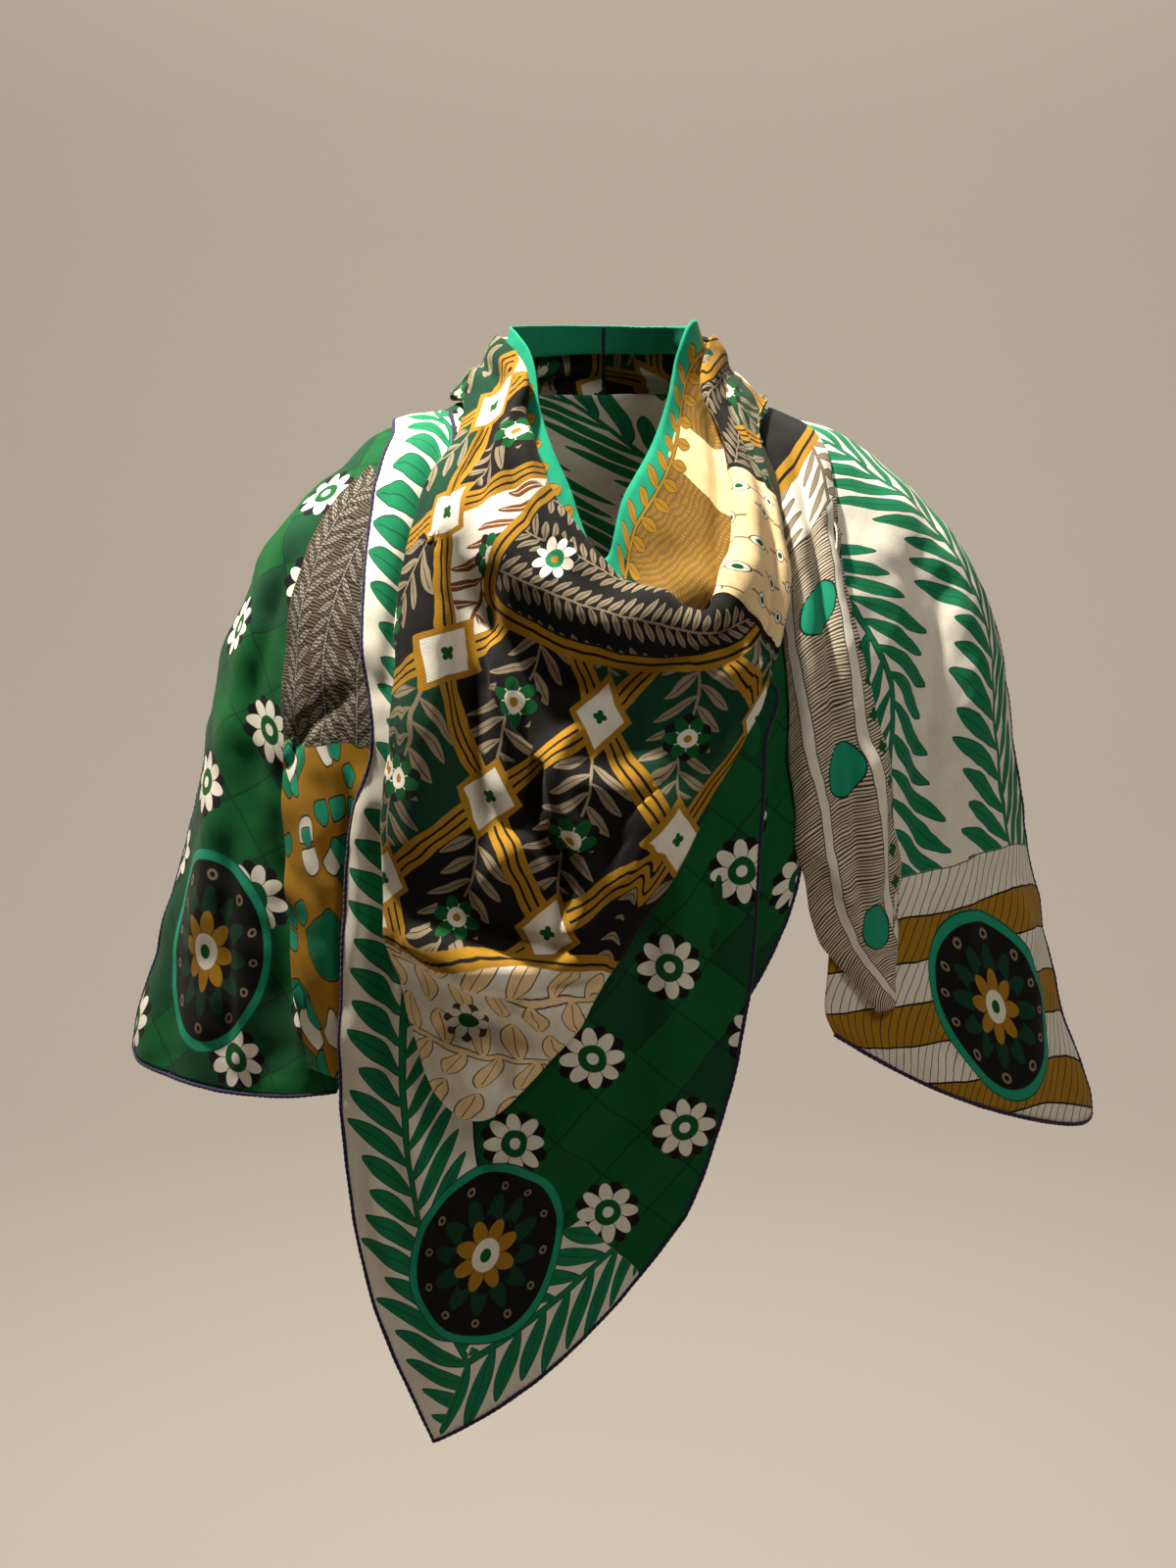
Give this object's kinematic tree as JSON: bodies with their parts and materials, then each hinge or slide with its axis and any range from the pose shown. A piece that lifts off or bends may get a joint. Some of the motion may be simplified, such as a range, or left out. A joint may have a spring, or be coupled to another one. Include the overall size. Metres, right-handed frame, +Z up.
{
  "type": "cashmere shawl",
  "caption": "Large square twill shawl worn with a corner in front, a soft cowl at the neck and a corner over each arm.",
  "frame": {"origin": "centre of the wearer's neck at its base, where the neck wrap is carried", "axes": "+Z up, +X to the viewer's right, -Y out of the front"},
  "size_m": [0.6148, 0.3169, 0.704],
  "materials": {
    "twill_green": "printed cashmere twill, green ground, matt with a faint sheen",
    "twill_black": "printed cashmere twill, black ground with gold bands",
    "twill_gold": "printed cashmere twill, gold and apricot ground",
    "twill_ivory": "printed cashmere twill, ivory ground",
    "hem_navy": "hand-rolled hem, dark navy"
  },
  "bodies": {
    "root": {"collar_left": "twill_green", "collar_right": "twill_gold", "cowl_roll": "twill_black", "upper_drape": "twill_black", "nape_wrap": "twill_black", "front_point": "twill_green", "under_layer": "twill_green", "shoulder_left": "twill_green", "strip_left": "twill_gold", "shoulder_right": "twill_ivory", "bundle_right": "twill_ivory", "back_drape": "twill_ivory"}
  },
  "joints": []
}
